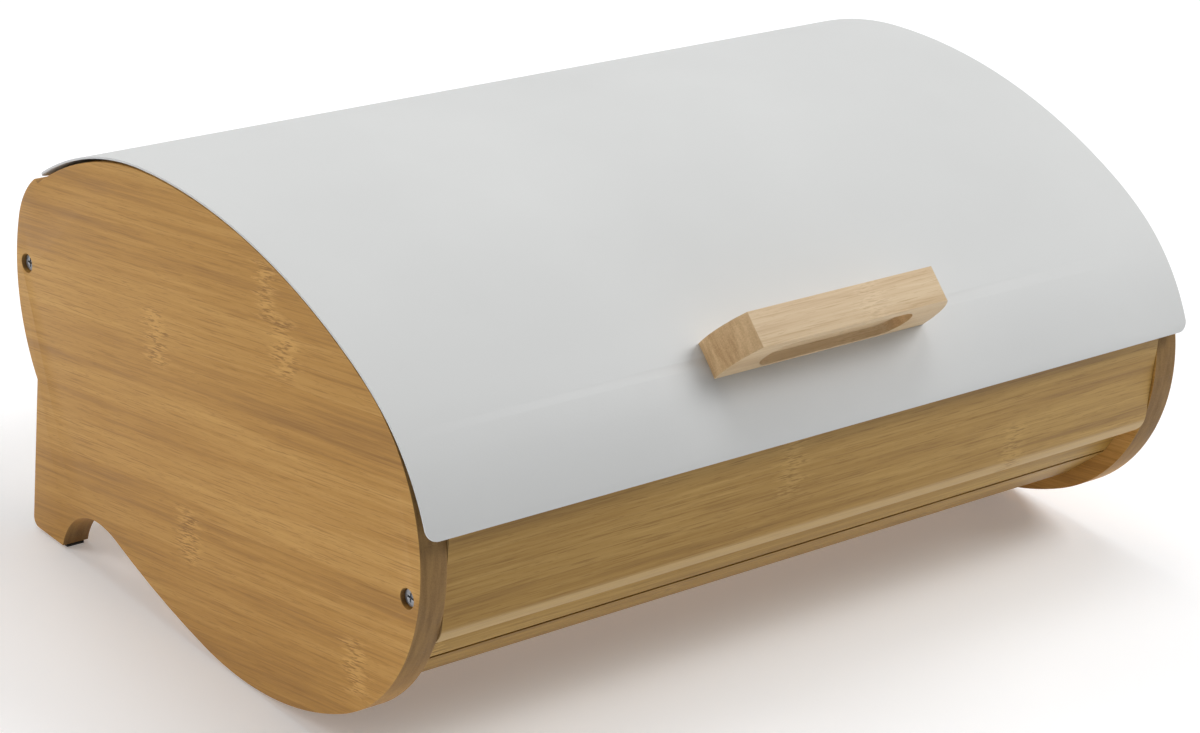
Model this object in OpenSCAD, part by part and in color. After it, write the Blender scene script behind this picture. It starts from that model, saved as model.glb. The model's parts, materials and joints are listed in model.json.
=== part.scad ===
// Bread box with two shaped bamboo side panels and a curved steel lid that
// swings up on two small hinges at the rear.
// The section of the box is drawn in a vertical plane. The first value of a
// section point is depth, with the front negative, and the second is height.
// Round stretches of the section are tangent arcs: each has a radius, and an
// angle at which the next one takes over. Angle 0 points to the rear, 90 up.

/* [Side panels] */
// Distance between the outer faces of the two side panels
box_w = 399; // [360:1:440]
// Thickness of a side panel
panel_t = 12; // [11:0.5:14]
// Least gap between the sheet and the panel's edge over the rear of the lid
edge_gap = 1; // [0.9:0.05:1.2]
// Radius of the panel's edge over the top
panel_top_r = 258; // [256:1:260]
// Radius of the panel's edge round the front
panel_front_r = 76; // [75.5:0.5:76.5]
// Radius of the panel's edge under the belly
panel_belly_r = 140; // [138:1:142]
// Radius of the long run from the belly up to the foot's arch
panel_tail_r = 400; // [380:5:420]
// Radius of the panel's rear edge
panel_rear_r = 85; // [84:0.5:86]
// Radius of the shoulder that the lid's rear edge stops short of
shoulder_r = 32; // [31:0.5:33]
// Radius of the arch between the belly and the rear foot
arch_r = 42; // [40:1:44]
// Radius of the arch where it turns down into the rear foot
arch_foot_r = 26; // [25:0.5:27]
// Radius of the foot's rear corner
foot_corner_r = 4; // [2:0.5:6]

/* [Boards] */
// Thickness of the front, back and lower back boards
board_t = 12; // [11:0.5:13]
// Height of the front board's lower edge
front_board_low = 58; // [56:0.5:60]
// Height of the front board's upper edge
front_board_high = 112; // [108:0.5:112.5]
// Radius of the front board's rounded lower edge
nose_r = 11; // [8:0.5:11]
// Thickness of the bottom board
bottom_t = 8; // [6:0.5:9]
// Depth of the grooves that hold the bottom board in the side panels
groove_d = 4; // [3:0.5:5]

/* [Lid] */
// Overhang of the lid sheet past each side panel
lid_over = 0.5; // [0.5:0.25:2]
// Thickness of the lid sheet
lid_t = 0.8; // [0.6:0.1:0.9]
// Outer radius of the lid at the rear
lid_rear_r = 140; // [139:0.5:140.5]
// Outer radius of the lid over the top
lid_top_r = 265; // [264:1:267]
// Outer radius of the short bend between the lid's top and its front
lid_bend_r = 150; // [140:5:165]
// Outer radius of the lid at the front
lid_front_r = 93; // [92.5:0.5:94]
// Radius of the sheet's four corners
lid_corner_r = 5; // [3:0.5:8]

/* [Handle] */
// Length of the handle at its base
handle_l = 110; // [105:1:130]
// Depth of the handle across the lid
handle_d = 15; // [13:0.5:18]
// Height of the handle above the lid
handle_h = 25; // [20:0.5:28]
// Radius of the handle's rounded ends
handle_end_r = 28; // [26:1:36]
// Length of the finger groove
finger_l = 76; // [60:1:80]
// Depth of the finger groove
finger_d = 3.9; // [2:0.1:3.9]

/* [Hinges] */
// Distance of each hinge from the middle of the box
hinge_x = 120; // [80:1:140]
// Width of a hinge
hinge_w = 40; // [36:1:50]
// Outer radius of the hinge knuckles
knuckle_r = 1.5; // [1.4:0.05:1.5]
// Radius of the hinge pin
pin_r = 0.8; // [0.7:0.05:0.85]
// Thickness of the hinge leaves
leaf_t = 0.7; // [0.6:0.05:0.7]

/* [Fasteners and pads] */
// Radius of the assembly screws' shanks
screw_r = 2; // [1.5:0.25:2]
// Length of the assembly screws under the head
screw_l = 45; // [35:1:50]
// Radius of the counterbores in the side panels
counterbore_r = 4; // [3.8:0.1:4.5]
// Radius of the dowels
dowel_r = 3; // [2.5:0.25:3.5]
// Length of the dowels
dowel_l = 24; // [20:1:28]
// Thickness of the anti-slip pads
pad_t = 1.2; // [0.8:0.1:1.5]

/* [Hidden] */

$fn = 48;
arc_step = 2;
overrun = 1;
slack = 0.05;

bamboo = [0.69, 0.52, 0.32];
bamboo_dark = [0.60, 0.50, 0.34];
pale_wood = [0.84, 0.74, 0.61];
steel = [0.72, 0.73, 0.75];
lid_white = [0.84, 0.85, 0.86];
rubber = [0.08, 0.08, 0.08];
clear_soft = [0.85, 0.87, 0.88];

// Widths; the boards stop a hair short of the panels
board_gap = 0.25;
inner_x = box_w / 2 - panel_t;
outer_x = box_w / 2;
board_x = inner_x - board_gap;
lid_x = outer_x + lid_over;

// Lid section: arcs from the rear edge to the front edge
lid_rear_c = [-70.5, 43.6];
lid_rear_top_a = 84.7;
lid_top_bend_a = 115.6;
lid_bend_front_a = 122.6;
lid_front_a = 157;
lid_top_c = next_centre(lid_rear_c, lid_rear_r, lid_top_r, lid_rear_top_a);
lid_bend_c = next_centre(lid_top_c, lid_top_r, lid_bend_r, lid_top_bend_a);
lid_front_c = next_centre(lid_bend_c, lid_bend_r, lid_front_r, lid_bend_front_a);

// Hinge axis, under the rear edge of the sheet
hinge_a = 52;
axis_r = lid_rear_r - lid_t - knuckle_r;
hinge_p = polar(lid_rear_c, axis_r, hinge_a);
lid_rear_a = hinge_a + 0.2;
stop_a = hinge_a - 1.3;
relief_a = hinge_a + 1.3;
leaf_a = hinge_a + 9.5;
rivet_a = hinge_a + 6;

// Panel section: arcs from the shoulder's face to the front and the belly
panel_lid_r = lid_rear_r - lid_t - edge_gap;
panel_lid_ahead = 1.1;
panel_lid_c = [lid_rear_c[0] - panel_lid_ahead, lid_rear_c[1]];
panel_lid_top_a = 84.6;
panel_top_front_a = 118.2;
panel_front_belly_a = 242;
panel_belly_tail_a = 280;
panel_tail_arch_a = 289.5;
panel_top_c = next_centre(panel_lid_c, panel_lid_r, panel_top_r, panel_lid_top_a);
panel_front_c = next_centre(panel_top_c, panel_top_r, panel_front_r, panel_top_front_a);
belly_c = next_centre(panel_front_c, panel_front_r, panel_belly_r, panel_front_belly_a);
tail_c = next_centre(belly_c, panel_belly_r, panel_tail_r, panel_belly_tail_a);
arch_c = polar(tail_c, panel_tail_r + arch_r, panel_tail_arch_a);
arch_foot_c = next_centre(arch_c, arch_r, arch_foot_r, 90);

// Rear edge, shoulder and foot
rear_c = [-54.8, 119.3];
rear_shoulder_a = 8.6;
shoulder_c = next_centre(rear_c, panel_rear_r, shoulder_r, rear_shoulder_a);
shoulder_top_a = 50.3;
foot_y = 12;
foot_z = pad_t;
rear_low_a = -acos((foot_y - rear_c[0]) / panel_rear_r);
arch_foot_a = asin((foot_z - arch_foot_c[1]) / arch_foot_r);

// Boards
front_y = -243.8;
front_board_back = front_y + board_t;
rail_back = -214;
rail_high = 73;
rail_low = 45;
rail_nose_y = -226;
rail_set_back = 0.8;
rail_joint = 0.6;
bottom_rail_y = -206;
bottom_rail_back = -194;
bottom_rail_low = 26;
bottom_low = 28;
back_y = hinge_p[0] + 1.9;
back_low = 92;
lower_back_top_y = 10.5;
lower_back_low_y = -19.5;
lower_back_w = 11;
lower_back_low = 28;

// Points along X joints: [depth, height]
front_screw_p = [front_y + board_t / 2, 81];
back_screw_p = [back_y + board_t / 2, 114];
screw_points = [front_screw_p, back_screw_p];
dowel_points = [[front_y + board_t / 2, 100], [-222, 60], [-203, 36],
                [-7.5, 42], [11, 82], [back_y + board_t / 2, 136]];

// Handle
handle_a = 133.4;
handle_screw_r = 1.75;
handle_screw_l = 16;
finger_low = 1.2;
finger_h = 19;
handle_screw_x = handle_l / 2 - 11;
handle_end_rise = 6;

// The frame's origin is under the middle of the whole object's depth
handle_corner_y = lid_front_c[0] + (lid_front_r + handle_h) * cos(handle_a)
                  - handle_d / 2 * sin(handle_a);
lid_edge_y = lid_front_c[0] + lid_front_r * cos(lid_front_a);
min_y = min(handle_corner_y, lid_edge_y);
max_y = rear_c[0] + panel_rear_r;
frame_y = -(min_y + max_y) / 2;

function polar(c, r, a) = [c[0] + r * cos(a), c[1] + r * sin(a)];
function next_centre(c, r, r_next, a) = polar(c, r - r_next, a);
function arc(c, r, a0, a1) =
    let (n = ceil(abs(a1 - a0) / arc_step))
    [for (i = [0:n]) polar(c, r, a0 + (a1 - a0) * i / n)];

// Outline of a side panel, from the foot's rear corner round to its front
function panel_outline() = concat(
    arc([foot_y - foot_corner_r, foot_z + foot_corner_r], foot_corner_r, -90, 0),
    arc(rear_c, panel_rear_r, rear_low_a, rear_shoulder_a),
    arc(shoulder_c, shoulder_r, rear_shoulder_a, shoulder_top_a),
    arc(panel_lid_c, panel_lid_r, stop_a, panel_lid_top_a),
    arc(panel_top_c, panel_top_r, panel_lid_top_a, panel_top_front_a),
    arc(panel_front_c, panel_front_r, panel_top_front_a, panel_front_belly_a),
    arc(belly_c, panel_belly_r, panel_front_belly_a, panel_belly_tail_a),
    arc(tail_c, panel_tail_r, panel_belly_tail_a, panel_tail_arch_a),
    arc(arch_c, arch_r, panel_tail_arch_a - 180, 90),
    arc(arch_foot_c, arch_foot_r, 90, arch_foot_a));

// Outline of a band of the lid's section, depth d_out to d_in under its outer face
function lid_line(d, a0) = concat(
    arc(lid_rear_c, lid_rear_r - d, a0, lid_rear_top_a),
    arc(lid_top_c, lid_top_r - d, lid_rear_top_a, lid_top_bend_a),
    arc(lid_bend_c, lid_bend_r - d, lid_top_bend_a, lid_bend_front_a),
    arc(lid_front_c, lid_front_r - d, lid_bend_front_a, lid_front_a));
function reversed(list) = [for (i = [len(list) - 1:-1:0]) list[i]];

// Extrude a section along X from x0 to x1
module section(x0, x1) {
    translate([x0, frame_y, 0])
        rotate([90, 0, 90])
            linear_extrude(x1 - x0)
                children();
}

// A cylinder along X, centred on a section point
module along_x(p, r, x0, x1) {
    translate([x0, frame_y + p[0], p[1]])
        rotate([0, 90, 0])
            cylinder(r = r, h = x1 - x0);
}

// Children with Z pointing out of the lid, at angle a round centre c
module on_arc(c, a) {
    translate([0, frame_y + c[0], c[1]])
        rotate([a - 90, 0, 0])
            children();
}

// Bores that a board's end has for its screws and dowels, on both sides
module end_bores(screws, dowels) {
    for (side = [0, 1])
        mirror([side, 0, 0]) {
            for (p = screws)
                along_x(p, screw_r + slack, outer_x - panel_t - screw_l, inner_x + overrun);
            for (p = dowels)
                along_x(p, dowel_r + slack, inner_x - dowel_l + panel_dowel_d, inner_x + overrun);
        }
}

panel_dowel_d = 8;
counterbore_d = 3.8;

module panel_blank() {
    difference() {
        section(inner_x, outer_x)
            polygon(panel_outline());
        section(inner_x - overrun, inner_x + groove_d)
            polygon(bottom_outline());
        for (p = screw_points) {
            along_x(p, screw_r + slack, inner_x - overrun, outer_x);
            along_x(p, counterbore_r, outer_x - counterbore_d, outer_x + overrun);
        }
        for (p = dowel_points)
            along_x(p, dowel_r + slack, inner_x - overrun, inner_x + panel_dowel_d);
    }
}

module left_side_panel() {
    color(bamboo)
        mirror([1, 0, 0])
            panel_blank();
}

module right_side_panel() {
    color(bamboo)
        panel_blank();
}

module front_board() {
    top_r = 2;
    color(bamboo_dark)
        difference() {
            section(-board_x, board_x)
                polygon(concat(
                    [[front_board_back, front_board_low]],
                    [[front_board_back, front_board_high]],
                    arc([front_y + top_r, front_board_high - top_r], top_r, 90, 180),
                    arc([front_y + nose_r, front_board_low + nose_r], nose_r, 180, 270)));
            end_bores([front_screw_p], [dowel_points[0]]);
        }
}

// Rail behind and under the front board
module front_rail() {
    color(bamboo_dark)
        difference() {
            section(-board_x, board_x)
                polygon([[front_board_back, front_board_low], [rail_nose_y + rail_set_back, rail_low],
                         [rail_back, rail_low], [rail_back, rail_high],
                         [front_board_back, rail_high]]);
            end_bores([], [dowel_points[1]]);
        }
}

// Rail with a bevelled front, between the front rail and the bottom board
module bottom_rail() {
    color(bamboo_dark)
        difference() {
            section(-board_x, board_x)
                polygon([[rail_nose_y + rail_set_back, rail_low - rail_joint],
                         [bottom_rail_y, bottom_rail_low],
                         [bottom_rail_back, bottom_rail_low],
                         [bottom_rail_back, rail_low - rail_joint]]);
            end_bores([], [dowel_points[2]]);
        }
}

function lower_back_y(z) = lower_back_low_y
    + (lower_back_top_y - lower_back_low_y) * (z - lower_back_low) / (back_low - lower_back_low);

function bottom_outline() =
    [[bottom_rail_back, bottom_low], [lower_back_y(bottom_low), bottom_low],
     [lower_back_y(bottom_low + bottom_t), bottom_low + bottom_t],
     [bottom_rail_back, bottom_low + bottom_t]];

module bottom_board() {
    color(bamboo)
        section(-inner_x - groove_d, inner_x + groove_d)
            polygon(bottom_outline());
}

module lower_back_board() {
    color(bamboo_dark)
        difference() {
            section(-board_x, board_x)
                polygon([[lower_back_low_y, lower_back_low],
                         [lower_back_low_y + lower_back_w, lower_back_low],
                         [lower_back_top_y + lower_back_w, back_low],
                         [lower_back_top_y, back_low]]);
            end_bores([], [dowel_points[3], dowel_points[4]]);
        }
}

// Upper back board, with the panels' shoulder along its top
module back_board() {
    board_high = 170;
    chamfer = 3;
    color(bamboo_dark)
        difference() {
            section(-board_x, board_x)
                intersection() {
                    polygon(panel_outline());
                    polygon([[back_y, back_low], [back_y + board_t - chamfer, back_low],
                             [back_y + board_t, back_low + 4 * chamfer],
                             [back_y + board_t, board_high], [back_y, board_high]]);
                }
            end_bores([back_screw_p], [dowel_points[5]]);
            for (x = hinge_screw_xs)
                translate([x, frame_y + back_y - overrun, hinge_screw_z])
                    rotate([-90, 0, 0])
                        cylinder(r = wood_screw_r + slack, h = wood_screw_l + overrun);
        }
}

// A cross-recessed screw along +X, with its head's seat at x = 0
module cross_screw(r, l, head_r, head_h) {
    recess = head_h * 0.55;
    difference() {
        rotate([0, 90, 0])
            union() {
                translate([0, 0, -l])
                    cylinder(r = r, h = l);
                cylinder(r = head_r, h = head_h);
            }
        for (turn = [0, 90])
            rotate([turn, 0, 0])
                translate([head_h - recess, -head_r * 0.6, -head_r * 0.13])
                    cube([recess + overrun, head_r * 1.2, head_r * 0.26]);
    }
}

module panel_screws() {
    head_r = 3.3;
    head_h = 2.2;
    color(steel)
        for (side = [0, 1])
            mirror([side, 0, 0])
                for (p = screw_points)
                    translate([outer_x - counterbore_d, frame_y + p[0], p[1]])
                        cross_screw(screw_r, screw_l, head_r, head_h);
}

module wood_dowels() {
    color(pale_wood)
        for (side = [0, 1])
            mirror([side, 0, 0])
                for (p = dowel_points)
                    along_x(p, dowel_r, inner_x + panel_dowel_d - dowel_l,
                            inner_x + panel_dowel_d);
}

// Soft stops on the panels' front edges, under the lid
module lid_bumpers() {
    bumper_r = 4;
    bumper_h = 1.6;
    bumper_a = 146;
    color(clear_soft)
        difference() {
            for (side = [-1, 1])
                on_arc(panel_front_c, bumper_a)
                    translate([side * (outer_x - panel_t / 2), 0, panel_front_r - overrun])
                        cylinder(r = bumper_r, h = bumper_h + overrun);
            section(-outer_x, outer_x)
                polygon(panel_outline());
        }
}

pad_w = 8;

// Pads under the bellies of the side panels
module belly_pads() {
    pad_l = 18;
    color(rubber)
        difference() {
            for (side = [-1, 1])
                translate([side * (outer_x - panel_t / 2) - pad_w / 2,
                           frame_y + belly_c[0] - pad_l / 2, 0])
                    cube([pad_w, pad_l, pad_t + overrun]);
            section(-outer_x, outer_x)
                polygon(panel_outline());
        }
}

// Pads under the rear feet
module foot_pads() {
    pad_l = 16;
    pad_y = -3;
    color(rubber)
        for (side = [-1, 1])
            translate([side * (outer_x - panel_t / 2) - pad_w / 2,
                       frame_y + pad_y - pad_l / 2, 0])
                cube([pad_w, pad_l, pad_t]);
}

// Hinge parts, centred on x = 0
leaf_gap = 0.04;
pin_slack = 0.03;
knuckle_gap = 0.3;
lid_knuckle = 13.4;
leaf_l = 22;
hinge_screw_dx = 12;
wood_screw_r = 1.5;
wood_screw_l = 10;
wood_screw_drop = 13;
rivet_r = 1.5;
hinge_screw_z = hinge_p[1] - wood_screw_drop;
hinge_screw_xs = [for (s = [-1, 1], t = [-1, 1]) s * hinge_x + t * hinge_screw_dx];

module base_leaf() {
    plate_y = frame_y + back_y - leaf_t;
    color(steel)
        difference() {
            union() {
                translate([-hinge_w / 2, plate_y, hinge_p[1] - leaf_l])
                    cube([hinge_w, leaf_t, leaf_l]);
                along_x(hinge_p, knuckle_r, -hinge_w / 2, hinge_w / 2);
            }
            translate([-lid_knuckle / 2 - knuckle_gap, frame_y + hinge_p[0] - 2 * knuckle_r,
                       hinge_p[1] - knuckle_r - 2 * knuckle_gap])
                cube([lid_knuckle + 2 * knuckle_gap, 5 * knuckle_r, 5 * knuckle_r]);
            along_x(hinge_p, pin_r + pin_slack, -hinge_w, hinge_w);
            for (t = [-1, 1])
                translate([t * hinge_screw_dx, plate_y - overrun, hinge_screw_z])
                    rotate([-90, 0, 0])
                        cylinder(r = wood_screw_r + slack, h = leaf_t + 2 * overrun);
        }
}

module hinge_pin() {
    cap_r = 1.2;
    cap_h = 0.6;
    color(steel) {
        along_x(hinge_p, pin_r, -hinge_w / 2, hinge_w / 2);
        for (side = [0, 1])
            mirror([side, 0, 0])
                along_x(hinge_p, cap_r, hinge_w / 2, hinge_w / 2 + cap_h);
    }
}

module lid_leaf() {
    band_out = lid_rear_r - lid_t - leaf_gap;
    color(steel)
        difference() {
            union() {
                section(-hinge_w / 2, hinge_w / 2)
                    polygon(concat(arc(lid_rear_c, band_out, relief_a, leaf_a),
                                   arc(lid_rear_c, band_out - leaf_t, leaf_a, relief_a)));
                section(-lid_knuckle / 2, lid_knuckle / 2)
                    polygon(concat(arc(lid_rear_c, band_out, hinge_a, relief_a),
                                   arc(lid_rear_c, band_out - leaf_t, relief_a, hinge_a)));
                along_x(hinge_p, knuckle_r, -lid_knuckle / 2, lid_knuckle / 2);
            }
            along_x(hinge_p, pin_r + pin_slack, -hinge_w, hinge_w);
            rivet_bores([-1, 1] * hinge_screw_dx);
        }
}

module rivet_bores(xs) {
    for (x = xs)
        on_arc(lid_rear_c, rivet_a)
            translate([x, 0, lid_rear_r - 4])
                cylinder(r = rivet_r + slack, h = 6);
}

module left_hinge_base_leaf() {
    translate([-hinge_x, 0, 0])
        base_leaf();
}

module right_hinge_base_leaf() {
    translate([hinge_x, 0, 0])
        base_leaf();
}

module left_hinge_pin() {
    translate([-hinge_x, 0, 0])
        hinge_pin();
}

module right_hinge_pin() {
    translate([hinge_x, 0, 0])
        hinge_pin();
}

module left_hinge_lid_leaf() {
    translate([-hinge_x, 0, 0])
        lid_leaf();
}

module right_hinge_lid_leaf() {
    translate([hinge_x, 0, 0])
        lid_leaf();
}

module hinge_wood_screws() {
    head_r = 2.8;
    head_h = 1.6;
    color(steel)
        for (x = hinge_screw_xs)
            translate([x, frame_y + back_y - leaf_t, hinge_screw_z])
                rotate([0, 0, -90])
                    cross_screw(wood_screw_r, wood_screw_l, head_r, head_h);
}

// Rivets that hold the sheet on the lid leaves
module hinge_rivets() {
    head_r = 3;
    head_h = 0.9;
    tail_r = 2.4;
    stack = lid_t + leaf_t + 2 * leaf_gap;
    color(steel)
        for (x = hinge_screw_xs)
            on_arc(lid_rear_c, rivet_a)
                translate([x, 0, lid_rear_r - stack]) {
                    translate([0, 0, -head_h])
                        cylinder(r = tail_r, h = head_h);
                    cylinder(r = rivet_r, h = stack);
                    translate([0, 0, stack])
                        cylinder(r = head_r, h = head_h);
                }
}

// Cutter that rounds one corner of the sheet at +X; edge is -1 or 1 along Y
module corner_cutter(edge) {
    reach = 6;
    translate([lid_x - lid_corner_r, -edge * lid_corner_r, -reach])
        difference() {
            translate([0, min(0, edge * (lid_corner_r + overrun)), 0])
                cube([lid_corner_r + overrun, lid_corner_r + overrun, 2 * reach]);
            translate([0, 0, -overrun])
                cylinder(r = lid_corner_r, h = 2 * reach + 2 * overrun);
        }
}

module lid_sheet() {
    relief_w = hinge_w + 2;
    color(lid_white)
        difference() {
            section(-lid_x, lid_x)
                polygon(concat(lid_line(0, lid_rear_a), reversed(lid_line(lid_t, lid_rear_a))));
            for (side = [0, 1])
                mirror([side, 0, 0]) {
                    on_arc(lid_front_c, lid_front_a)
                        translate([0, 0, lid_front_r])
                            corner_cutter(-1);
                    on_arc(lid_rear_c, lid_rear_a)
                        translate([0, 0, lid_rear_r])
                            corner_cutter(1);
                    section(hinge_x - relief_w / 2, hinge_x + relief_w / 2)
                        polygon(concat(
                            arc(lid_rear_c, lid_rear_r + overrun, hinge_a - 1, relief_a),
                            arc(lid_rear_c, lid_rear_r - lid_t - overrun, relief_a, hinge_a - 1)));
                }
            rivet_bores(hinge_screw_xs);
            handle_bores(handle_screw_r + slack, lid_front_r - 5, lid_front_r + 5);
        }
}

// Bores through the lid and into the handle, from radius r0 to r1
module handle_bores(r, r0, r1) {
    for (side = [-1, 1])
        on_arc(lid_front_c, handle_a)
            translate([side * handle_screw_x, 0, r0])
                cylinder(r = r, h = r1 - r0);
}

// A finger groove in the side of the handle at +Y
module finger_groove() {
    end_r = finger_h / 2;
    run = finger_l / 2 - end_r;
    translate([0, handle_d / 2 - finger_d, lid_front_r + finger_low + end_r])
        rotate([-90, 0, 0]) {
            for (side = [-1, 1])
                translate([side * run, 0, 0])
                    cylinder(r = end_r, h = finger_d + overrun);
            translate([-run, -end_r, 0])
                cube([2 * run, finger_h, finger_d + overrun]);
        }
}

module handle() {
    seat = 0.6;
    end_run = sqrt(pow(handle_end_r, 2) - pow(handle_end_rise, 2));
    end_c = [handle_l / 2 - end_run, lid_front_r + handle_end_rise];
    end_low_a = -asin(handle_end_rise / handle_end_r);
    end_top_a = asin((handle_h - handle_end_rise) / handle_end_r);
    color(pale_wood)
        difference() {
            on_arc(lid_front_c, handle_a)
                difference() {
                    translate([0, handle_d / 2, 0])
                        rotate([90, 0, 0])
                            linear_extrude(handle_d)
                                polygon(concat(
                                    [[-handle_l / 2, lid_front_r - seat]],
                                    [[handle_l / 2, lid_front_r - seat]],
                                    arc(end_c, handle_end_r, end_low_a, end_top_a),
                                    arc([-end_c[0], end_c[1]], handle_end_r,
                                        180 - end_top_a, 180 - end_low_a)));
                    rotate([0, 90, 0])
                        cylinder(r = lid_front_r + 0.03, h = 2 * handle_l, center = true, $fn = 180);
                    finger_groove();
                    mirror([0, 1, 0])
                        finger_groove();
                }
            handle_bores(handle_screw_r + slack, lid_front_r - 5, lid_front_r + handle_screw_l);
        }
}

washer_t = 0.8;
// A flat washer inside the curved sheet stands off by this much
washer_gap = 0.15;
washer_seat_r = lid_front_r - lid_t - washer_gap;

// Screws up through the sheet into the handle, heads inside the box
module handle_screws() {
    head_r = 3.2;
    head_h = 2;
    color(steel)
        for (side = [-1, 1])
            on_arc(lid_front_c, handle_a)
                translate([side * handle_screw_x, 0, washer_seat_r - washer_t])
                    rotate([0, 90, 0])
                        cross_screw(handle_screw_r, handle_screw_l, head_r, head_h);
}

module handle_washers() {
    washer_r = 5;
    color(steel)
        difference() {
            for (side = [-1, 1])
                on_arc(lid_front_c, handle_a)
                    translate([side * handle_screw_x, 0, washer_seat_r - washer_t])
                        cylinder(r = washer_r, h = washer_t);
            handle_bores(handle_screw_r + slack, lid_front_r - 5, lid_front_r);
        }
}

left_side_panel();
right_side_panel();
front_board();
front_rail();
bottom_rail();
bottom_board();
lower_back_board();
back_board();
panel_screws();
wood_dowels();
lid_bumpers();
belly_pads();
foot_pads();
left_hinge_base_leaf();
right_hinge_base_leaf();
left_hinge_pin();
right_hinge_pin();
hinge_wood_screws();
lid_sheet();
handle();
handle_screws();
handle_washers();
left_hinge_lid_leaf();
right_hinge_lid_leaf();
hinge_rivets();
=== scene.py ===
"""Bread box with bamboo side panels and boards, and a powder-coated sheet lid that swings up."""

import json
import math

import bmesh
import bpy
from mathutils import Matrix, Vector


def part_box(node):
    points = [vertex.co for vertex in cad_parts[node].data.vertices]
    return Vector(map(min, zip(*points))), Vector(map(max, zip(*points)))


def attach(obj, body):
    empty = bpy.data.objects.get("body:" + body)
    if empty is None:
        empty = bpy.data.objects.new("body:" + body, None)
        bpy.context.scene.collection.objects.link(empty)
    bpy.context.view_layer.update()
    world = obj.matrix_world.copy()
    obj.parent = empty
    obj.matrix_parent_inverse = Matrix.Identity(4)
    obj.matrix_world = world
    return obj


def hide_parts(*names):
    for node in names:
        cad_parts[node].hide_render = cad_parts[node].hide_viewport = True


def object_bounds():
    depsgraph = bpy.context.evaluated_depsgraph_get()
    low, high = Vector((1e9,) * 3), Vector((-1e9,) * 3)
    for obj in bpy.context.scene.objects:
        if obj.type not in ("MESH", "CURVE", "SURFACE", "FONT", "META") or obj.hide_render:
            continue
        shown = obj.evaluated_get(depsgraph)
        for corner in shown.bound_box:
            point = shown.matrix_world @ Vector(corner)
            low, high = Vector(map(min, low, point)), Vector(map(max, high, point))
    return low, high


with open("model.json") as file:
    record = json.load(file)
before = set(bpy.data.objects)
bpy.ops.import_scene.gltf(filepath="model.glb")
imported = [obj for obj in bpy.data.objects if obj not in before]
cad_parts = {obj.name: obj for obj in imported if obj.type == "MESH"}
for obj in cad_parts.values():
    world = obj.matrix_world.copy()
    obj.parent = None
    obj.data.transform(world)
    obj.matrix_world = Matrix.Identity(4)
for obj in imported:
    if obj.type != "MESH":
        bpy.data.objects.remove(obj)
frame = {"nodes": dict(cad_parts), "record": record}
cad_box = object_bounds()
scene = bpy.context.scene
MM = 0.001
BEVEL_SAMPLES = 4
# cosines of the angle between the true and the rounded normal, for no edge wear and for full wear
EDGE_FLAT = 0.995
EDGE_FULL = 0.80

# ---------------------------------------------------------------- camera
CAM_AZIMUTH = math.radians(41.798)
CAM_ELEVATION = math.radians(23.628)
CAM_ROLL = math.radians(5.525)
CAM_PLACE = Vector((-0.8847, -0.98532, 0.6571))
CAM_LENS = 104.28
CAM_SENSOR = 36.0


def camera_axes():
    sa, ca = math.sin(CAM_AZIMUTH), math.cos(CAM_AZIMUTH)
    se, ce = math.sin(CAM_ELEVATION), math.cos(CAM_ELEVATION)
    sr, cr = math.sin(CAM_ROLL), math.cos(CAM_ROLL)
    right = Vector((ca, -sa, 0.0))
    up = Vector((sa * se, ca * se, ce))
    forward = Vector((sa * ce, ca * ce, -se))
    return right * cr + up * sr, up * cr - right * sr, -forward


def make_camera():
    data = bpy.data.cameras.new("camera")
    data.lens = CAM_LENS
    data.sensor_width = CAM_SENSOR
    data.clip_start = 0.05
    data.clip_end = 50.0
    cam = bpy.data.objects.new("camera", data)
    scene.collection.objects.link(cam)
    rot = Matrix(camera_axes()).transposed()
    cam.matrix_world = Matrix.Translation(CAM_PLACE) @ rot.to_4x4()
    scene.camera = cam


make_camera()


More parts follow.
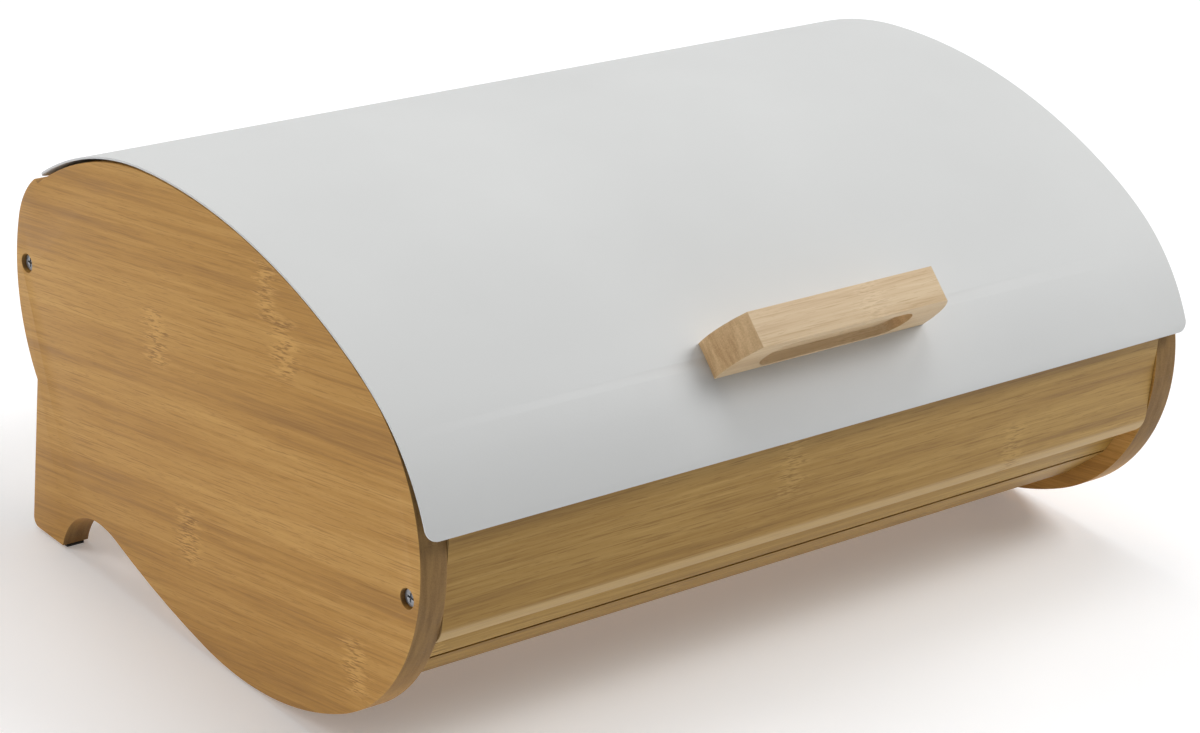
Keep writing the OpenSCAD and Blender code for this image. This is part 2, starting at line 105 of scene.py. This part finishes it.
# ---------------------------------------------------------------- materials
class Nodes:
    """A short way to write a node material."""

    def __init__(self, name):
        self.mat = bpy.data.materials.new(name)
        self.mat.use_nodes = True
        self.tree = self.mat.node_tree
        self.tree.nodes.clear()
        self.out = self.add("ShaderNodeOutputMaterial")
        self.bsdf = self.add("ShaderNodeBsdfPrincipled")
        self.link(self.bsdf.outputs[0], self.out.inputs[0])

    def add(self, kind, **props):
        node = self.tree.nodes.new(kind)
        for key, value in props.items():
            setattr(node, key, value)
        return node

    def link(self, a, b):
        self.tree.links.new(a, b)

    def put(self, value, socket):
        if isinstance(value, bpy.types.NodeSocket):
            self.link(value, socket)
        else:
            socket.default_value = value

    def coords(self, which="Object"):
        return self.add("ShaderNodeTexCoord").outputs[which]

    def mapped(self, vector, scale=(1, 1, 1), rotation=(0, 0, 0), location=(0, 0, 0)):
        node = self.add("ShaderNodeMapping")
        self.link(vector, node.inputs["Vector"])
        node.inputs["Location"].default_value = location
        node.inputs["Rotation"].default_value = rotation
        node.inputs["Scale"].default_value = scale
        return node.outputs[0]

    def noise(self, vector, scale=1.0, detail=4.0, rough=0.5):
        node = self.add("ShaderNodeTexNoise")
        self.link(vector, node.inputs["Vector"])
        node.inputs["Scale"].default_value = scale
        node.inputs["Detail"].default_value = detail
        node.inputs["Roughness"].default_value = rough
        node.inputs["Distortion"].default_value = 0.0
        return node.outputs["Fac"]

    def math(self, op, a, b=0.0, c=0.0):
        node = self.add("ShaderNodeMath", operation=op)
        self.put(a, node.inputs[0])
        self.put(b, node.inputs[1])
        self.put(c, node.inputs[2])
        return node.outputs[0]

    def span(self, value, lo, hi, out_lo=0.0, out_hi=1.0, smooth=False):
        node = self.add("ShaderNodeMapRange", clamp=True)
        node.interpolation_type = "SMOOTHSTEP" if smooth else "LINEAR"
        self.put(value, node.inputs["Value"])
        node.inputs["From Min"].default_value = lo
        node.inputs["From Max"].default_value = hi
        node.inputs["To Min"].default_value = out_lo
        node.inputs["To Max"].default_value = out_hi
        return node.outputs[0]

    def mix(self, fac, a, b):
        node = self.add("ShaderNodeMix", data_type="RGBA", blend_type="MIX")
        self.put(fac, node.inputs[0])
        self.put(a, node.inputs[6])
        self.put(b, node.inputs[7])
        return node.outputs[2]

    def split(self, vector):
        node = self.add("ShaderNodeSeparateXYZ")
        self.link(vector, node.inputs[0])
        return node.outputs

    def join(self, x, y, z):
        node = self.add("ShaderNodeCombineXYZ")
        for value, socket in zip((x, y, z), node.inputs):
            self.put(value, socket)
        return node.outputs[0]

    def white(self, vector):
        node = self.add("ShaderNodeTexWhiteNoise", noise_dimensions="3D")
        self.link(vector, node.inputs["Vector"])
        return node.outputs["Value"]

    def ramp(self, fac, stops):
        node = self.add("ShaderNodeValToRGB")
        self.link(fac, node.inputs[0])
        while len(node.color_ramp.elements) < len(stops):
            node.color_ramp.elements.new(0.5)
        for element, (place, colour) in zip(node.color_ramp.elements, stops):
            element.position = place
            element.color = colour
        return node.outputs[0]

    def bump(self, height, distance, strength=1.0):
        node = self.add("ShaderNodeBump")
        self.put(height, node.inputs["Height"])
        node.inputs["Distance"].default_value = distance
        node.inputs["Strength"].default_value = strength
        return node.outputs[0]

    def edge(self, radius):
        """1 on a sharp or rounded convex edge, 0 on a flat face."""
        bevel = self.add("ShaderNodeBevel", samples=BEVEL_SAMPLES)
        bevel.inputs["Radius"].default_value = radius
        geometry = self.add("ShaderNodeNewGeometry")
        dot = self.add("ShaderNodeVectorMath", operation="DOT_PRODUCT")
        self.link(bevel.outputs[0], dot.inputs[0])
        self.link(geometry.outputs["True Normal"], dot.inputs[1])
        return self.span(dot.outputs["Value"], EDGE_FLAT, EDGE_FULL)


def srgb(r, g, b):
    """A colour given in display values of 0 to 255."""

    def linear(v):
        v /= 255.0
        return v / 12.92 if v <= 0.04045 else ((v + 0.055) / 1.055) ** 2.4

    return (linear(r), linear(g), linear(b), 1.0)


def turn_to(rows):
    """The Euler rotation that takes the three given directions to X, Y and Z."""
    return Matrix(rows).to_euler("XYZ")


PLY = 12.5 * MM
# fibres in three widths, from broad streaks to hair lines: scale along the grain, across it, weight
STREAKS = ((3.5, 75.0, 0.34), (9.0, 300.0, 0.32), (24.0, 1150.0, 0.24))
TONE_WEIGHT = 0.10
# how far from its middle a growth node is at full strength, and where it has died away
NODE_FULL = 1.0 * MM
NODE_GONE = 10.0 * MM


def bamboo(name, rows, strip, tones, seed, node_period=0.30, knots=(), highlight_face=None, knot_depth=0.7):
    """Laminated bamboo. rows are the directions of the grain, across the strips, and through them.
    knots are points in the row frame where a strip shows a growth node. The argument after knots is
    where a board's front face lies along the third direction, for a board whose rounded edge gets a
    painted highlight, a paler band.
    knot_depth is how strongly the growth nodes stand out, from 0 to 1."""
    light, mid, dark, end_light, end_dark = tones
    rotation = turn_to(rows)
    n = Nodes(name)
    flat = n.mapped(n.coords(), rotation=rotation)
    grain = n.mapped(flat, location=(seed * 0.37, seed * 0.113, 0))
    wave = n.noise(n.mapped(grain, scale=(3.0, 9.0, 9.0)), 1.0, 2.0)
    x, y, z = n.split(grain)[0:3]
    y_bent = n.math("MULTIPLY_ADD", wave, 0.003, y)
    row = n.math("FLOOR", n.math("DIVIDE", y_bent, strip))
    layer = n.math("FLOOR", n.math("DIVIDE", z, PLY))
    tone = n.white(n.join(row, layer, seed))
    place = n.white(n.join(layer, seed, row))
    fibre = n.math("MULTIPLY", tone, TONE_WEIGHT)
    for along, over, weight in STREAKS:
        part = n.noise(n.mapped(grain, scale=(along, over, over)), 1.0, 3.0, 0.55)
        fibre = n.math("MULTIPLY_ADD", part, weight, fibre)
    cloud = n.noise(n.mapped(grain, scale=(6.0, 14.0, 14.0)), 1.0, 2.0)
    fibre = n.math("MULTIPLY_ADD", cloud, TONE_WEIGHT, fibre)
    base = n.ramp(n.span(fibre, 0.40, 0.68), [(0.0, dark), (0.45, mid), (1.0, light)])
    hair = n.noise(n.mapped(grain, scale=(42.0, 1700.0, 1700.0)), 1.0, 2.0, 0.55)
    base = n.mix(n.span(hair, 0.56, 0.68, 0.0, 0.65), base, dark)
    pore = n.noise(n.mapped(grain, scale=(180.0, 2600.0, 2600.0)), 1.0, 1.0, 0.5)
    base = n.mix(n.span(pore, 0.62, 0.72, 0.0, 0.45), base, dark)
    if highlight_face:
        # painted highlight: a paler band along the board's rounded edge, painted in place of the light
        # that the rounded nose catches from the pale floor
        depth = n.math("SUBTRACT", highlight_face, n.split(flat)[2])
        highlight_tone = n.mix(0.8, base, srgb(208, 181, 135))
        highlight_band = n.math("MULTIPLY", n.span(depth, 0.1 * MM, 0.5 * MM),
                      n.span(depth, 2.6 * MM, 5.0 * MM, 1.0, 0.0))
        base = n.mix(n.math("MULTIPLY", highlight_band, 0.62), base, highlight_tone)
    # growth nodes: a short feathered band on each strip
    pale_node = tuple(min(1.0, 1.12 * v) for v in light[:3]) + (1.0,)
    dark_node = tuple(0.80 * v for v in dark[:3]) + (1.0,)
    ragged = n.noise(n.mapped(grain, scale=(30.0, 700.0, 700.0)), 1.0, 2.0, 0.6)
    feather = n.noise(n.mapped(grain, scale=(190.0, 1500.0, 1500.0)), 1.0, 2.0, 0.6)
    bend = n.math("MULTIPLY", n.math("SUBTRACT", ragged, 0.5), 0.030)
    mask = 0.0
    if node_period:
        turn = n.math("FRACT", n.math("ADD", n.math("DIVIDE", x, node_period), place))
        away = n.math("MULTIPLY", n.math("SUBTRACT", turn, 0.5), node_period)
        whole = n.math("ABSOLUTE", n.math("ADD", away, bend))
        mask = n.span(whole, NODE_FULL, NODE_GONE, 1.0, 0.0, True)
    fx, fy = n.split(flat)[0:2]
    for point in knots:
        spot = rotation.to_matrix() @ Vector(point)
        along = n.math("ABSOLUTE", n.math("ADD", n.math("SUBTRACT", fx, spot.x), bend))
        side = n.math("ABSOLUTE", n.math("SUBTRACT", fy, spot.y))
        here = n.math("MULTIPLY", n.span(along, NODE_FULL, NODE_GONE, 1.0, 0.0, True),
                      n.span(side, strip * 0.40, strip * 0.62, 1.0, 0.0, True))
        mask = n.math("MAXIMUM", mask, here)
        line = n.math("MULTIPLY", here, n.span(along, 0.3 * MM, 1.4 * MM, 0.45, 0.0))
        base = n.mix(n.math("MULTIPLY", line, knot_depth), base, dark)
    mask = n.math("MULTIPLY", mask, knot_depth)
    base = n.mix(n.math("MULTIPLY", mask, n.span(feather, 0.54, 0.45, 0.15, 1.0)), base, pale_node)
    base = n.mix(n.math("MULTIPLY", mask, n.span(feather, 0.52, 0.60, 0.0, 1.0)), base, dark_node)
    # glue lines between the strips
    part_way = n.math("FRACT", n.math("DIVIDE", y_bent, strip))
    joint = n.math("ABSOLUTE", n.math("SUBTRACT", part_way, 0.5))
    seam = n.span(joint, 0.488, 0.497, 0.0, 1.0, True)
    base = n.mix(n.math("MULTIPLY", seam, 0.16), base, dark)
    # end grain, where the face looks along the grain
    normal = n.split(n.mapped(n.coords("Normal"), rotation=rotation))[0]
    ends = n.span(n.math("ABSOLUTE", normal), 0.45, 0.85)
    plies = n.noise(n.mapped(flat, scale=(30.0, 60.0, 420.0)), 1.0, 3.0, 0.6)
    dots = n.noise(n.mapped(grain, scale=(900.0, 1900.0, 1900.0)), 1.0, 2.0, 0.6)
    end_fac = n.math("ADD", n.math("MULTIPLY", plies, 0.65), n.math("MULTIPLY", dots, 0.35))
    end_tone = n.ramp(n.span(end_fac, 0.36, 0.64), [(0.0, end_dark), (1.0, end_light)])
    base = n.mix(n.math("MULTIPLY", ends, 0.9), base, end_tone)
    # handled edges are rubbed a little paler
    edge = n.edge(0.0011)
    worn = n.math("MULTIPLY", edge, n.span(n.noise(grain, 60.0, 3.0), 0.35, 0.7, 0.1, 0.5))
    base = n.mix(worn, base, light)
    n.link(base, n.bsdf.inputs["Base Color"])
    rough = n.math("ADD", n.span(fibre, 0.38, 0.66, 0.42, 0.56), n.math("MULTIPLY", ends, 0.14))
    n.link(rough, n.bsdf.inputs["Roughness"])
    raised = n.math("ADD", fibre, n.math("MULTIPLY", hair, 0.4))
    height = n.math("SUBTRACT", raised, n.math("MULTIPLY", seam, 0.6))
    n.link(n.bump(height, 0.00010, 0.6), n.bsdf.inputs["Normal"])
    n.bsdf.inputs["Specular IOR Level"].default_value = 0.35
    return n.mat


def pale_wood(name):
    """Pale, close-grained wood with the grain along X."""
    n = Nodes(name)
    grain = n.coords()
    light, mid, dark = srgb(224, 202, 168), srgb(208, 180, 140), srgb(172, 136, 92)
    slow = n.noise(n.mapped(grain, scale=(7.0, 90.0, 90.0)), 1.0, 3.0)
    base = n.ramp(slow, [(0.3, mid), (0.62, light)])
    fine = n.noise(n.mapped(grain, scale=(60.0, 1700.0, 1700.0)), 1.0, 3.0, 0.6)
    dashes = n.noise(n.mapped(grain, scale=(150.0, 2300.0, 2300.0)), 1.0, 1.0, 0.5)
    base = n.mix(n.span(fine, 0.45, 0.7, 0.0, 0.35), base, dark)
    base = n.mix(n.span(dashes, 0.60, 0.70, 0.0, 0.45), base, dark)
    normal = n.split(n.coords("Normal"))[0]
    ends = n.span(n.math("ABSOLUTE", normal), 0.4, 0.8)
    dots = n.noise(n.mapped(grain, scale=(200.0, 1500.0, 1500.0)), 1.0, 2.0, 0.7)
    base = n.mix(n.math("MULTIPLY", ends, n.span(dots, 0.3, 0.65, 0.75, 0.35)), base, dark)
    edge = n.edge(0.0009)
    base = n.mix(n.math("MULTIPLY", edge, 0.35), base, light)
    n.link(base, n.bsdf.inputs["Base Color"])
    n.link(n.span(fine, 0.3, 0.7, 0.46, 0.62), n.bsdf.inputs["Roughness"])
    n.link(n.bump(fine, 0.00008, 0.6), n.bsdf.inputs["Normal"])
    n.bsdf.inputs["Specular IOR Level"].default_value = 0.3
    return n.mat


def powder_coat(name):
    """Satin off-white powder coat, with a fine orange-peel skin."""
    n = Nodes(name)
    place = n.coords()
    peel = n.noise(place, 900.0, 3.0, 0.55)
    soft = n.noise(place, 9.0, 3.0, 0.5)
    grime = n.noise(place, 55.0, 5.0, 0.65)
    base = n.mix(n.span(soft, 0.3, 0.7), srgb(206, 207, 206), srgb(211, 212, 211))
    base = n.mix(n.span(grime, 0.62, 0.85, 0.0, 0.10), base, srgb(196, 196, 190))
    edge = n.edge(0.0006)
    chip = n.math("MULTIPLY", edge, n.span(n.noise(place, 320.0, 3.0), 0.62, 0.72, 0.0, 0.35))
    base = n.mix(chip, base, srgb(180, 182, 184))
    n.link(base, n.bsdf.inputs["Base Color"])
    n.link(n.math("ADD", n.span(soft, 0.3, 0.7, 0.47, 0.54), n.math("MULTIPLY", grime, 0.06)),
           n.bsdf.inputs["Roughness"])
    n.link(n.bump(peel, 0.00004, 0.5), n.bsdf.inputs["Normal"])
    n.bsdf.inputs["Specular IOR Level"].default_value = 0.45
    return n.mat


def metal(name, colour, tint, rough, brushed=None):
    """Plated or brushed steel."""
    n = Nodes(name)
    place = n.coords()
    blotch = n.noise(place, 260.0, 4.0, 0.6)
    scale = brushed or (1200.0, 1200.0, 1200.0)
    grit = n.noise(n.mapped(place, scale=scale), 1.0, 3.0, 0.6)
    base = n.mix(n.span(blotch, 0.35, 0.7), colour, tint)
    edge = n.edge(0.0004)
    base = n.mix(n.math("MULTIPLY", edge, 0.4), base, srgb(236, 236, 236))
    n.link(base, n.bsdf.inputs["Base Color"])
    n.link(n.math("ADD", n.span(grit, 0.3, 0.7, rough - 0.06, rough + 0.08),
                  n.math("MULTIPLY", blotch, 0.08)), n.bsdf.inputs["Roughness"])
    n.link(n.bump(grit, 0.00002, 0.5), n.bsdf.inputs["Normal"])
    n.bsdf.inputs["Metallic"].default_value = 1.0
    return n.mat


def soft_black(name):
    """Matt black rubber."""
    n = Nodes(name)
    place = n.coords()
    dust = n.noise(place, 180.0, 4.0, 0.6)
    grit = n.noise(place, 1800.0, 2.0, 0.5)
    edge = n.edge(0.0003)
    base = n.mix(n.span(dust, 0.5, 0.8, 0.0, 0.4), srgb(28, 28, 28), srgb(58, 56, 53))
    base = n.mix(n.math("MULTIPLY", edge, 0.3), base, srgb(66, 64, 62))
    n.link(base, n.bsdf.inputs["Base Color"])
    n.link(n.span(grit, 0.3, 0.7, 0.72, 0.9), n.bsdf.inputs["Roughness"])
    n.link(n.bump(grit, 0.00005, 0.6), n.bsdf.inputs["Normal"])
    return n.mat


def soft_clear(name):
    """Milky soft plastic."""
    n = Nodes(name)
    place = n.coords()
    cloud = n.noise(place, 300.0, 3.0, 0.5)
    grit = n.noise(place, 2500.0, 2.0, 0.5)
    edge = n.edge(0.0004)
    base = n.mix(n.span(cloud, 0.3, 0.7), srgb(206, 210, 212), srgb(222, 225, 226))
    base = n.mix(n.math("MULTIPLY", edge, 0.3), base, srgb(240, 241, 242))
    n.link(base, n.bsdf.inputs["Base Color"])
    n.link(n.span(grit, 0.3, 0.7, 0.22, 0.34), n.bsdf.inputs["Roughness"])
    n.link(n.bump(grit, 0.00002, 0.4), n.bsdf.inputs["Normal"])
    n.bsdf.inputs["Subsurface Weight"].default_value = 0.3
    n.bsdf.inputs["Subsurface Scale"].default_value = 0.002
    return n.mat


PANEL_TONES = (srgb(204, 157, 87), srgb(186, 137, 64), srgb(156, 110, 47),
               srgb(138, 108, 64), srgb(108, 80, 44))
BOARD_TONES = (srgb(184, 149, 84), srgb(161, 124, 58), srgb(132, 96, 40),
               srgb(146, 118, 76), srgb(116, 90, 54))
RAIL_TONES = (srgb(188, 154, 86), srgb(166, 130, 62), srgb(138, 102, 44),
              srgb(146, 118, 76), srgb(116, 90, 54))
HANDLE_TONES = (srgb(221, 198, 163), srgb(207, 180, 142), srgb(184, 152, 110),
                srgb(222, 187, 140), srgb(180, 141, 94))
# the grain of the side panels rises by this much to the rear
RISE = math.radians(10.5)
rise_c, rise_s = math.cos(RISE), math.sin(RISE)
PANEL_ROWS = ((0, -rise_c, rise_s), (0, rise_s, rise_c), (-1, 0, 0))
UPRIGHT_ROWS = ((1, 0, 0), (0, 0, 1), (0, -1, 0))
LEVEL_ROWS = ((1, 0, 0), (0, 1, 0), (0, 0, 1))
# the handle's place round the lid's front, from the rear, as in the CAD
LEAN = math.radians(133.4)
HANDLE_ROWS = ((1, 0, 0), (0, math.sin(LEAN), -math.cos(LEAN)), (0, math.cos(LEAN), math.sin(LEAN)))
handle_low, handle_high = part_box("handle")
handle_mid = (Vector(handle_low) + Vector(handle_high)) / 2
HANDLE_KNOTS = [(0.012, handle_mid.y, handle_mid.z)]
side = cad_box[0][0]
LEFT_KNOTS = [(side, 0.038, 0.118), (side, -0.034, 0.164), (side, -0.046, 0.146), (side, 0.009, 0.045),
              (side, -0.102, 0.040)]
FRONT_KNOTS = [(-0.02, -0.134, 0.094), (0.105, -0.134, 0.07)]

MATS = {
    "panel_left": bamboo("bamboo_left", PANEL_ROWS, 0.022, PANEL_TONES, 3.0, None, LEFT_KNOTS),
    "panel_right": bamboo("bamboo_right", PANEL_ROWS, 0.022, PANEL_TONES, 5.3, 0.35),
    "front": bamboo("bamboo_front", UPRIGHT_ROWS, 0.026, BOARD_TONES, 1.7, None, FRONT_KNOTS,
                    -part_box("front_board")[0][1], 0.5),
    "rail": bamboo("bamboo_rail", UPRIGHT_ROWS, 0.020, RAIL_TONES, 4.1, 0.7),
    "low_rail": bamboo("bamboo_low_rail", UPRIGHT_ROWS, 0.020, BOARD_TONES, 6.4, 0.5),
    "back": bamboo("bamboo_back", UPRIGHT_ROWS, 0.022, BOARD_TONES, 8.2, 0.33),
    "low_back": bamboo("bamboo_low_back", UPRIGHT_ROWS, 0.021, BOARD_TONES, 9.6, 0.31),
    "bottom": bamboo("bamboo_bottom", LEVEL_ROWS, 0.022, PANEL_TONES, 7.7, 0.30),
    "handle": bamboo("handle_wood", HANDLE_ROWS, 0.030, HANDLE_TONES, 2.2, None, HANDLE_KNOTS,
                     knot_depth=0.3),
    "dowel": pale_wood("dowel_wood"),
    "lid": powder_coat("lid_powder_coat"),
    "zinc": metal("zinc_plate", srgb(172, 176, 182), srgb(140, 144, 148), 0.38),
    "steel": metal("hinge_steel", srgb(186, 187, 190), srgb(166, 166, 168), 0.34,
                   (60.0, 2200.0, 2200.0)),
    "rubber": soft_black("pad_rubber"),
    "bumper": soft_clear("bumper_plastic"),
}


# ---------------------------------------------------------------- shapes
WELD = 0.002 * MM
FLAT_ANGLE = math.radians(0.25)
CORNER_ANGLE = math.radians(30.0)
SMOOTH_ANGLE = math.radians(32.0)
EDGE_SEGMENTS = 3


def refined(node, name, mat, width):
    """A finer copy of a CAD node: welded, with small rounded edges and smooth curved faces."""
    source = frame["nodes"][node]
    mesh = source.data.copy()
    mesh.transform(source.matrix_world)
    bm = bmesh.new()
    bm.from_mesh(mesh)
    bmesh.ops.remove_doubles(bm, verts=bm.verts, dist=WELD)
    bmesh.ops.dissolve_limit(bm, angle_limit=FLAT_ANGLE, verts=bm.verts, edges=bm.edges)
    bm.to_mesh(mesh)
    bm.free()
    obj = bpy.data.objects.new(name, mesh)
    scene.collection.objects.link(obj)
    bevel = obj.modifiers.new("bevel", "BEVEL")
    bevel.limit_method = "ANGLE"
    bevel.angle_limit = CORNER_ANGLE
    bevel.width = width
    bevel.segments = EDGE_SEGMENTS
    bevel.use_clamp_overlap = True
    bpy.context.view_layer.update()
    graph = bpy.context.evaluated_depsgraph_get()
    final = bpy.data.meshes.new_from_object(obj.evaluated_get(graph))
    obj.modifiers.clear()
    obj.data = final
    final.materials.clear()
    final.materials.append(mat)
    final.polygons.foreach_set("use_smooth", [True] * len(final.polygons))
    final.polygons.foreach_set("material_index", [0] * len(final.polygons))
    final.set_sharp_from_angle(angle=SMOOTH_ANGLE)
    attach(obj, BODY[node])
    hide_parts(node)
    return obj


behaviour = frame["record"]["behaviour"]
BODY = {node: body for body, nodes in behaviour["bodies"].items() for node in nodes}

# node: (material, edge radius in mm)
FINISH = {
    "left_side_panel": ("panel_left", 0.5),
    "right_side_panel": ("panel_right", 0.5),
    "front_board": ("front", 0.3),
    "front_rail": ("rail", 0.3),
    "bottom_rail": ("low_rail", 0.6),
    "bottom_board": ("bottom", 0.4),
    "lower_back_board": ("low_back", 0.6),
    "back_board": ("back", 0.6),
    "panel_screws": ("zinc", 0.25),
    "wood_dowels": ("dowel", 0.3),
    "lid_bumpers": ("bumper", 0.5),
    "belly_pads": ("rubber", 0.2),
    "foot_pads": ("rubber", 0.2),
    "left_hinge_base_leaf": ("steel", 0.15),
    "right_hinge_base_leaf": ("steel", 0.15),
    "left_hinge_pin": ("zinc", 0.15),
    "right_hinge_pin": ("zinc", 0.15),
    "hinge_wood_screws": ("zinc", 0.2),
    "lid_sheet": ("lid", 0.2),
    "handle": ("handle", 1.3),
    "handle_screws": ("zinc", 0.2),
    "handle_washers": ("zinc", 0.15),
    "left_hinge_lid_leaf": ("steel", 0.12),
    "right_hinge_lid_leaf": ("steel", 0.12),
    "hinge_rivets": ("zinc", 0.3),
}
for node, (mat, radius) in FINISH.items():
    refined(node, node + "_fine", MATS[mat], radius * MM)


# ---------------------------------------------------------------- stage
def make_floor():
    """A pale floor that turns up far behind the box."""
    bm = bmesh.new()
    half = 6.0
    steps = 12
    sweep_start = 3.0
    sweep_r = 1.5
    rows = [(-8.0, 0.0)]
    for i in range(steps + 1):
        angle = math.radians(90.0 * i / steps)
        rows.append((sweep_start + sweep_r * math.sin(angle), sweep_r - sweep_r * math.cos(angle)))
    rows.append((sweep_start + sweep_r, 8.0))
    pairs = [[bm.verts.new((x, y, z)) for x in (-half, half)] for y, z in rows]
    for low, high in zip(pairs, pairs[1:]):
        bm.faces.new((low[0], low[1], high[1], high[0]))
    mesh = bpy.data.meshes.new("floor")
    bm.to_mesh(mesh)
    bm.free()
    mesh.polygons.foreach_set("use_smooth", [True] * len(mesh.polygons))
    floor = bpy.data.objects.new("floor", mesh)
    floor.rotation_euler = (0, 0, -CAM_AZIMUTH)
    scene.collection.objects.link(floor)
    n = Nodes("floor_paint")
    n.link(n.mix(n.noise(n.coords(), 3.0), srgb(240, 241, 243), srgb(244, 245, 247)),
           n.bsdf.inputs["Base Color"])
    n.bsdf.inputs["Roughness"].default_value = 0.9
    n.bsdf.inputs["Specular IOR Level"].default_value = 0.1
    n.bsdf.inputs["Emission Color"].default_value = (1.0, 0.99, 0.98, 1.0)
    n.bsdf.inputs["Emission Strength"].default_value = 0.19
    floor.data.materials.append(n.mat)


def soft_light(name, place, size, watts):
    """A soft area light that points at the middle of the box."""
    data = bpy.data.lights.new(name, "AREA")
    data.shape = "RECTANGLE"
    data.size, data.size_y = size
    data.energy = watts
    light = bpy.data.objects.new(name, data)
    light.location = place
    light.rotation_euler = (CENTRE - Vector(place)).to_track_quat("-Z", "Y").to_euler()
    scene.collection.objects.link(light)


CENTRE = Vector((0, 0, 0.1))
make_floor()
soft_light("top", (0.2, 0.2, 2.4), (1.6, 1.2), 20)
soft_light("key", (1.5, -1.2, 2.2), (1.2, 1.2), 44)
soft_light("left", (-2.4, -0.2, 0.9), (1.4, 1.2), 7)
soft_light("left_back", (-1.8, 1.2, 1.6), (1.2, 1.2), 18)
soft_light("back", (0.0, 2.4, 1.6), (1.6, 1.0), 13)
soft_light("right", (2.4, -0.5, 1.0), (1.4, 1.2), 3)
world = bpy.data.worlds.new("studio")
world.use_nodes = True
world.node_tree.nodes["Background"].inputs[0].default_value = (1.0, 1.0, 1.0, 1.0)
world.node_tree.nodes["Background"].inputs[1].default_value = 0.06
scene.world = world
scene.view_settings.view_transform = "Standard"
